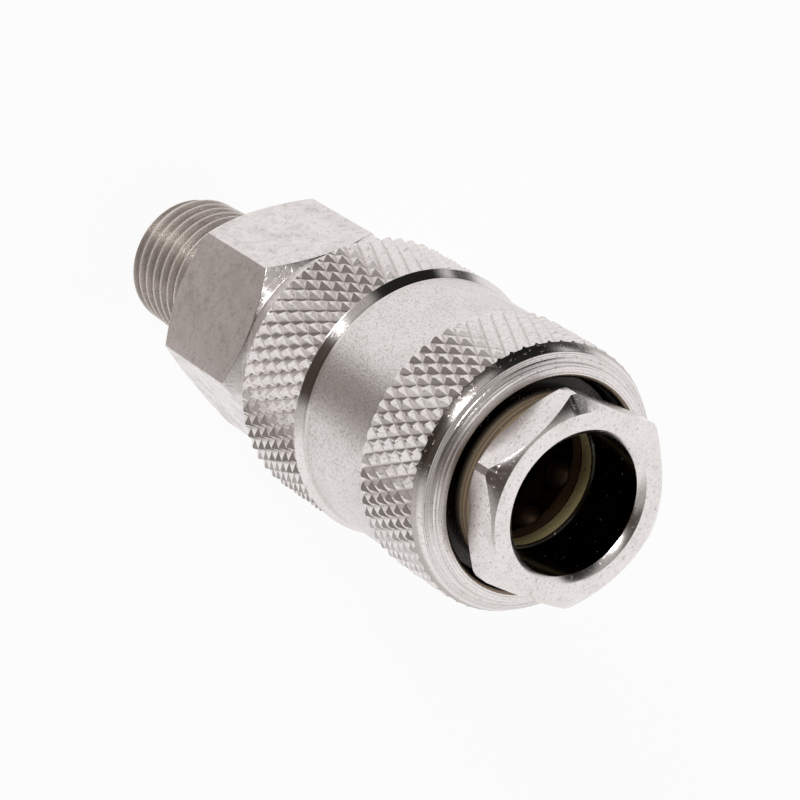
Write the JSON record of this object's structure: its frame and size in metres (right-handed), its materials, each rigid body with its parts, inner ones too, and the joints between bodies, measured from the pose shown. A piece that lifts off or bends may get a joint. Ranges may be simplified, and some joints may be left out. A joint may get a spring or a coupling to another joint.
{
  "type": "quick coupling",
  "caption": "Plated quick coupling socket with a knurled sliding sleeve, ball lock, spanner hexagons and a male pipe thread, for joining an air hose or tool to a plug by hand.",
  "frame": {"origin": "centre of the thread's end face, on which the coupling stands", "axes": "+Z along the axis from the thread to the plug mouth, +X towards a corner of the rear hexagon"},
  "size_m": [0.0244, 0.0244, 0.063],
  "materials": {
    "body_plate": "satin nickel plate",
    "sleeve_plate": "satin nickel plate, knurled",
    "adapter_plate": "satin nickel plate",
    "clip_steel": "black oxide",
    "spring_wire": "drawn spring wire",
    "ball_steel": "polished",
    "seal_rubber": "matt black",
    "valve_brass": "turned"
  },
  "bodies": {
    "socket": {"socket_body": "body_plate", "rear_adapter": "adapter_plate", "stop_ring": "clip_steel", "spring_seat": "spring_wire", "sleeve_spring": "spring_wire", "plug_packing": "seal_rubber", "joint_seal": "seal_rubber", "valve_spring": "spring_wire"},
    "sleeve": {"sleeve": "sleeve_plate"},
    "valve": {"valve_poppet": "valve_brass", "valve_seal_ring": "seal_rubber"},
    "ball_1": {"lock_ball_1": "ball_steel"},
    "ball_2": {"lock_ball_2": "ball_steel"},
    "ball_3": {"lock_ball_3": "ball_steel"},
    "ball_4": {"lock_ball_4": "ball_steel"},
    "ball_5": {"lock_ball_5": "ball_steel"},
    "ball_6": {"lock_ball_6": "ball_steel"},
    "ball_7": {"lock_ball_7": "ball_steel"},
    "ball_8": {"lock_ball_8": "ball_steel"}
  },
  "joints": [
    {"name": "sleeve_slide", "type": "slide", "parent": "socket", "child": "sleeve", "axis": [0, 0, 1], "range_m": [-0.0028, 0], "stiffness_N_per_m": 1500, "springref_m": 0.008, "deforming": ["sleeve_spring"]},
    {"name": "valve_slide", "type": "slide", "parent": "socket", "child": "valve", "axis": [0, 0, 1], "range_m": [-0.004, 0], "stiffness_N_per_m": 500, "springref_m": 0.006, "deforming": ["valve_spring"]},
    {"name": "ball_1_slide", "type": "slide", "parent": "socket", "child": "ball_1", "axis": [1, 0, 0], "range_m": [0, 0.0009]},
    {"name": "ball_2_slide", "type": "slide", "parent": "socket", "child": "ball_2", "axis": [0.7071, 0.7071, 0], "range_m": [0, 0.0009]},
    {"name": "ball_3_slide", "type": "slide", "parent": "socket", "child": "ball_3", "axis": [0, 1, 0], "range_m": [0, 0.0009]},
    {"name": "ball_4_slide", "type": "slide", "parent": "socket", "child": "ball_4", "axis": [-0.7071, 0.7071, 0], "range_m": [0, 0.0009]},
    {"name": "ball_5_slide", "type": "slide", "parent": "socket", "child": "ball_5", "axis": [-1, 0, 0], "range_m": [0, 0.0009]},
    {"name": "ball_6_slide", "type": "slide", "parent": "socket", "child": "ball_6", "axis": [-0.7071, -0.7071, 0], "range_m": [0, 0.0009]},
    {"name": "ball_7_slide", "type": "slide", "parent": "socket", "child": "ball_7", "axis": [0, -1, 0], "range_m": [0, 0.0009]},
    {"name": "ball_8_slide", "type": "slide", "parent": "socket", "child": "ball_8", "axis": [0.7071, -0.7071, 0], "range_m": [0, 0.0009]}
  ],
  "couplings": [
    {"joint": "ball_1_slide", "follows": "sleeve_slide", "ratio": -0.32},
    {"joint": "ball_2_slide", "follows": "sleeve_slide", "ratio": -0.32},
    {"joint": "ball_3_slide", "follows": "sleeve_slide", "ratio": -0.32},
    {"joint": "ball_4_slide", "follows": "sleeve_slide", "ratio": -0.32},
    {"joint": "ball_5_slide", "follows": "sleeve_slide", "ratio": -0.32},
    {"joint": "ball_6_slide", "follows": "sleeve_slide", "ratio": -0.32},
    {"joint": "ball_7_slide", "follows": "sleeve_slide", "ratio": -0.32},
    {"joint": "ball_8_slide", "follows": "sleeve_slide", "ratio": -0.32}
  ]
}
